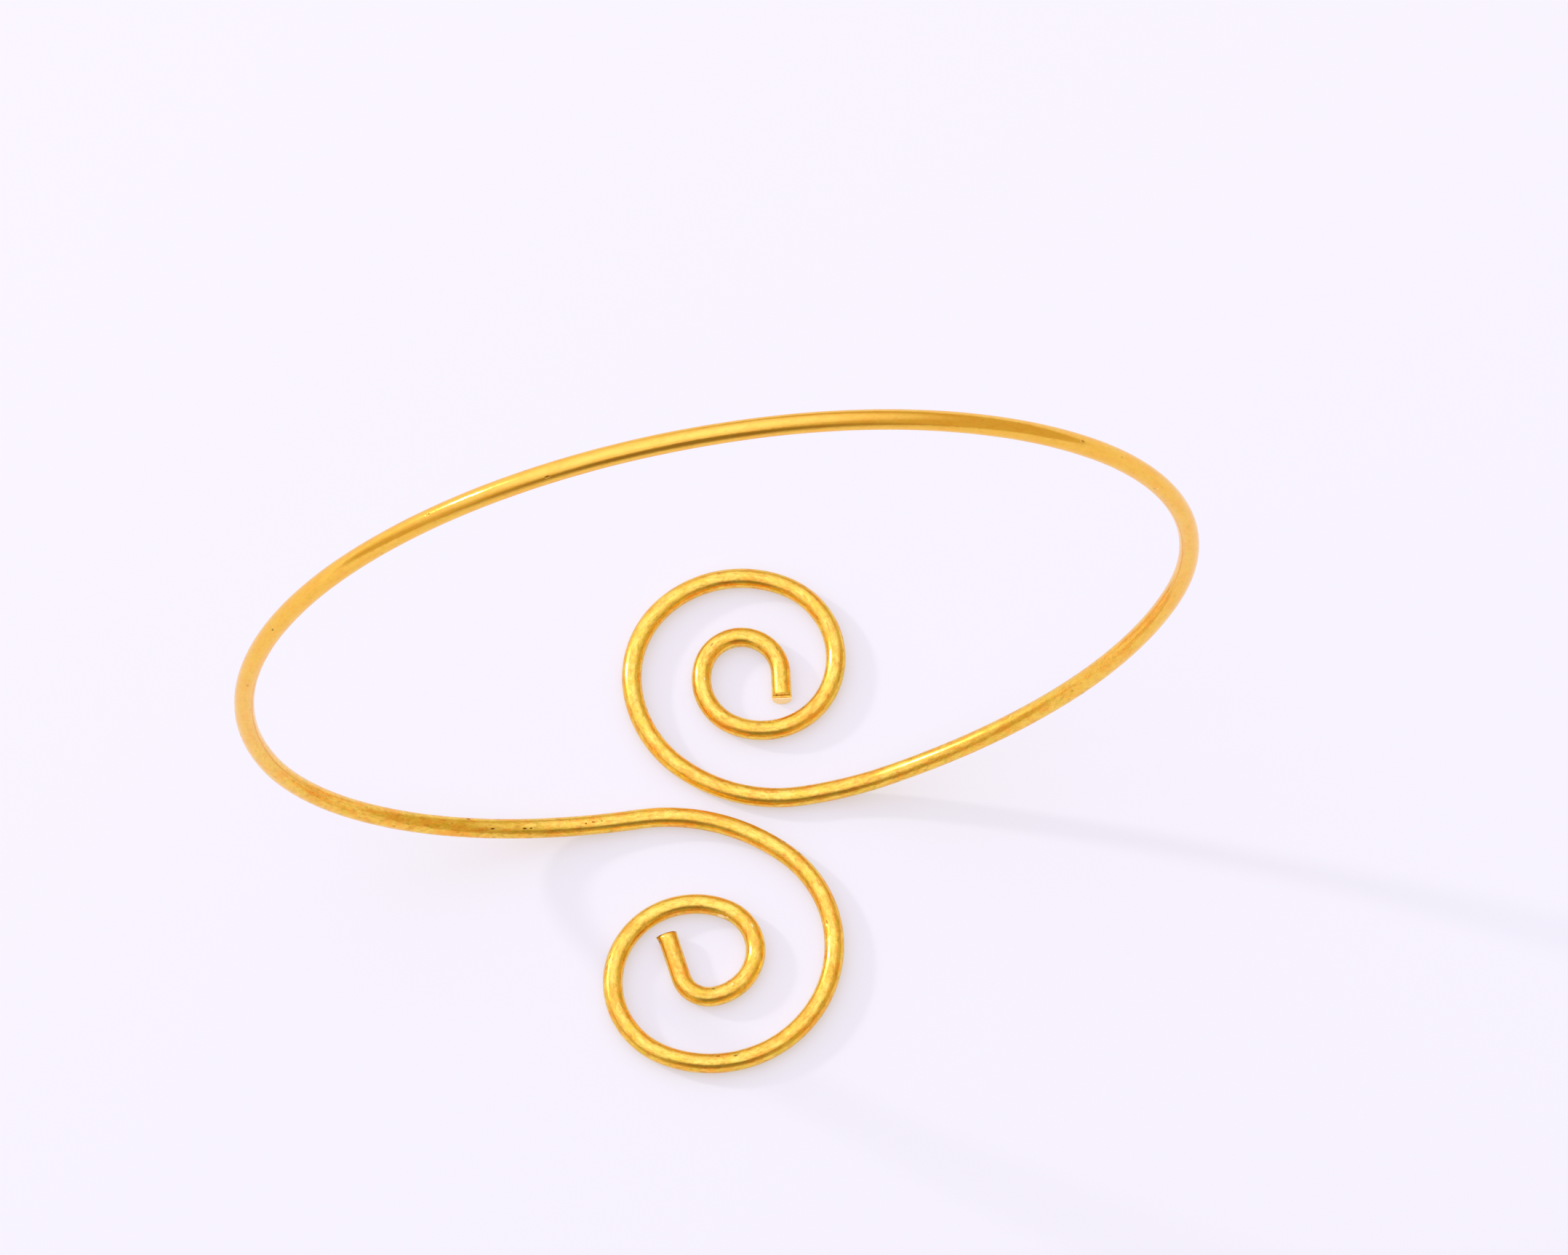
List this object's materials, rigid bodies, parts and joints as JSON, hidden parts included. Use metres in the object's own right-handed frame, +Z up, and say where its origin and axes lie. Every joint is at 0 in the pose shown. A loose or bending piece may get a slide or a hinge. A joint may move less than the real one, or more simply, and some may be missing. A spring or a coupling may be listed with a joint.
{
  "type": "spiral wire upper arm bracelet",
  "caption": "Open hoop of round brass wire for the upper arm, whose ends pass side by side and curl into two flat spiral scrolls on which it stands.",
  "frame": {"origin": "middle of the bounding box's base, on the surface that the two flat scrolls lie on", "axes": "X across the hoop, from its left side to its right; Y along the arm that goes through the hoop, from the larger lower scroll to the smaller upper one; Z up"},
  "size_m": [0.0762, 0.0422, 0.0718],
  "materials": {
    "brass_wire": "raw yellow brass wire, drawn, hand bent and lightly rubbed, satin with a soft shine and fine scratches"
  },
  "bodies": {
    "root": {"bracelet_wire": "brass_wire"}
  },
  "joints": []
}
